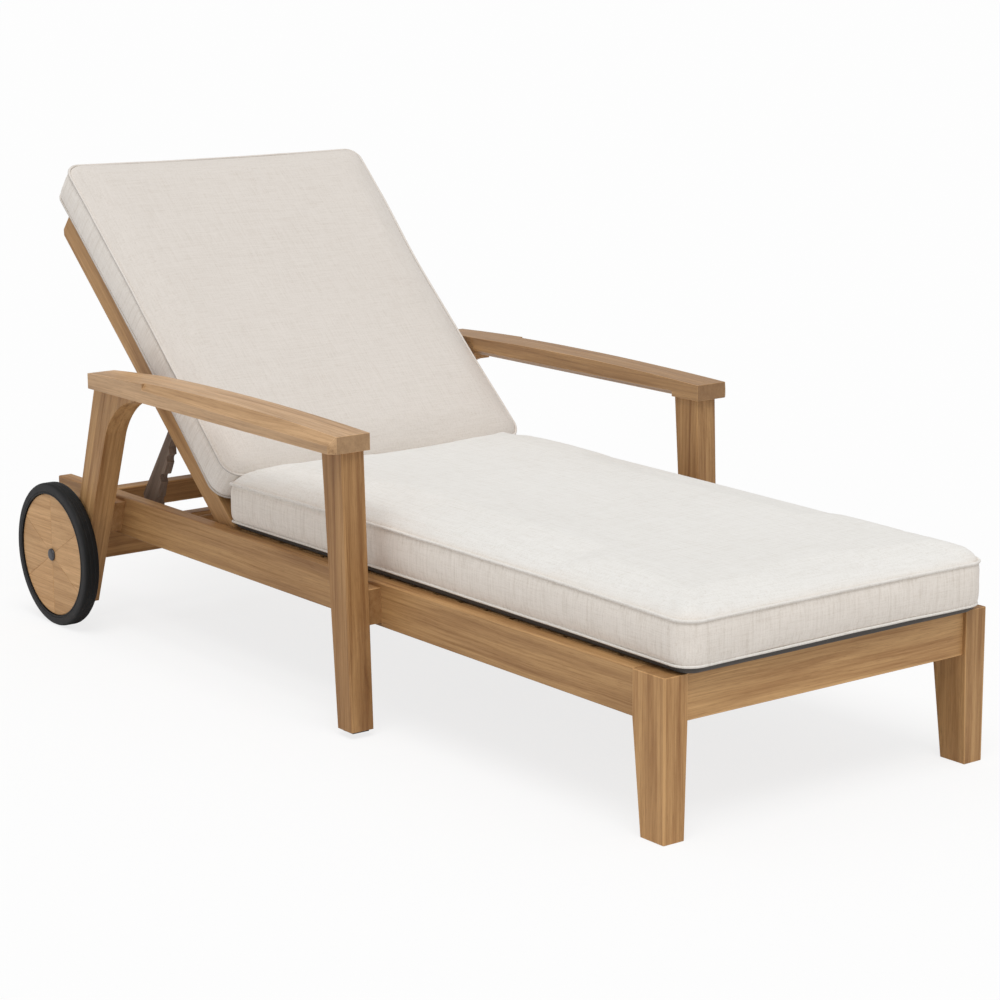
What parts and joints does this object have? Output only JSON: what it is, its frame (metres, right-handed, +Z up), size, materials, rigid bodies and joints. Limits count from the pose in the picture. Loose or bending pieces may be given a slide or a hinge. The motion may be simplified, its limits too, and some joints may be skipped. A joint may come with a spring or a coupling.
{
  "type": "teak sun lounger",
  "caption": "Wheeled wooden sun lounger with arms, a reclining slatted backrest propped on notched stays, and piped seat and back cushions.",
  "frame": {"origin": "centre of the bounding box in plan, on the floor", "axes": "+X runs along the length towards the foot end, +Y is the occupant's left side, +Z is up"},
  "size_m": [2.0614, 0.9636, 0.9462],
  "materials": {
    "teak": "oiled, satin, straight grain",
    "weathered_teak": "dark stained, matte",
    "cushion_cloth": "oatmeal linen-like weave with piped seams",
    "tyre_rubber": "matte black",
    "dark_metal": "satin black",
    "steel": "brushed stainless",
    "black_plastic": "matte black"
  },
  "bodies": {
    "frame": {"arm_left": "teak", "arm_leg_bolts": "steel", "arm_leg_glide_left": "black_plastic", "arm_leg_glide_right": "black_plastic", "arm_right": "teak", "axle": "steel", "axle_beam": "teak", "axle_sleeves": "steel", "centre_batten": "teak", "foot_cross_rail": "teak", "foot_leg_left": "teak", "foot_leg_right": "teak", "front_arm_leg_left": "teak", "front_arm_leg_right": "teak", "hinge_cross_rail": "teak", "hinge_pins": "steel", "hub_caps": "dark_metal", "packing_block_front_left": "teak", "packing_block_front_right": "teak", "packing_block_rear_left": "teak", "packing_block_rear_right": "teak", "rear_arm_leg_left": "teak", "rear_arm_leg_right": "teak", "rear_cross_rail": "teak", "seat_cushion": "cushion_cloth", "seat_ledger_left": "teak", "seat_ledger_right": "teak", "seat_slats": "teak", "side_rail_left": "teak", "side_rail_right": "teak", "stop_bar": "teak"},
    "backrest": {"back_cushion": "cushion_cloth", "backrest_bottom_rail": "teak", "backrest_slats": "teak", "backrest_stile_left": "teak", "backrest_stile_right": "teak", "backrest_top_rail": "teak", "stay_pins": "steel"},
    "stays": {"prop_stay_left": "weathered_teak", "prop_stay_right": "weathered_teak", "stay_tie": "weathered_teak"},
    "wheel_right": {"wheel_disc_right": "teak", "tyre_right": "tyre_rubber", "wheel_bush_right": "black_plastic"},
    "wheel_left": {"wheel_disc_left": "teak", "tyre_left": "tyre_rubber", "wheel_bush_left": "black_plastic"}
  },
  "joints": [
    {"name": "recline", "type": "hinge", "parent": "frame", "child": "backrest", "pos_m": [-0.3596, 0, 0.256], "axis": [0, -1, 0], "range_deg": [0, 35.2]},
    {"name": "stay_fold", "type": "hinge", "parent": "backrest", "child": "stays", "pos_m": [-0.61139, 0, 0.46788], "axis": [0, 1, 0], "range_deg": [0, 34.2]},
    {"name": "wheel_right_turn", "type": "hinge", "parent": "frame", "child": "wheel_right", "pos_m": [-0.8506, -0.4625, 0.152], "axis": [0, 1, 0], "continuous": true},
    {"name": "wheel_left_turn", "type": "hinge", "parent": "frame", "child": "wheel_left", "pos_m": [-0.8506, 0.4625, 0.152], "axis": [0, 1, 0], "continuous": true}
  ],
  "couplings": [
    {"joint": "stay_fold", "follows": "recline", "ratio": 0.97}
  ]
}
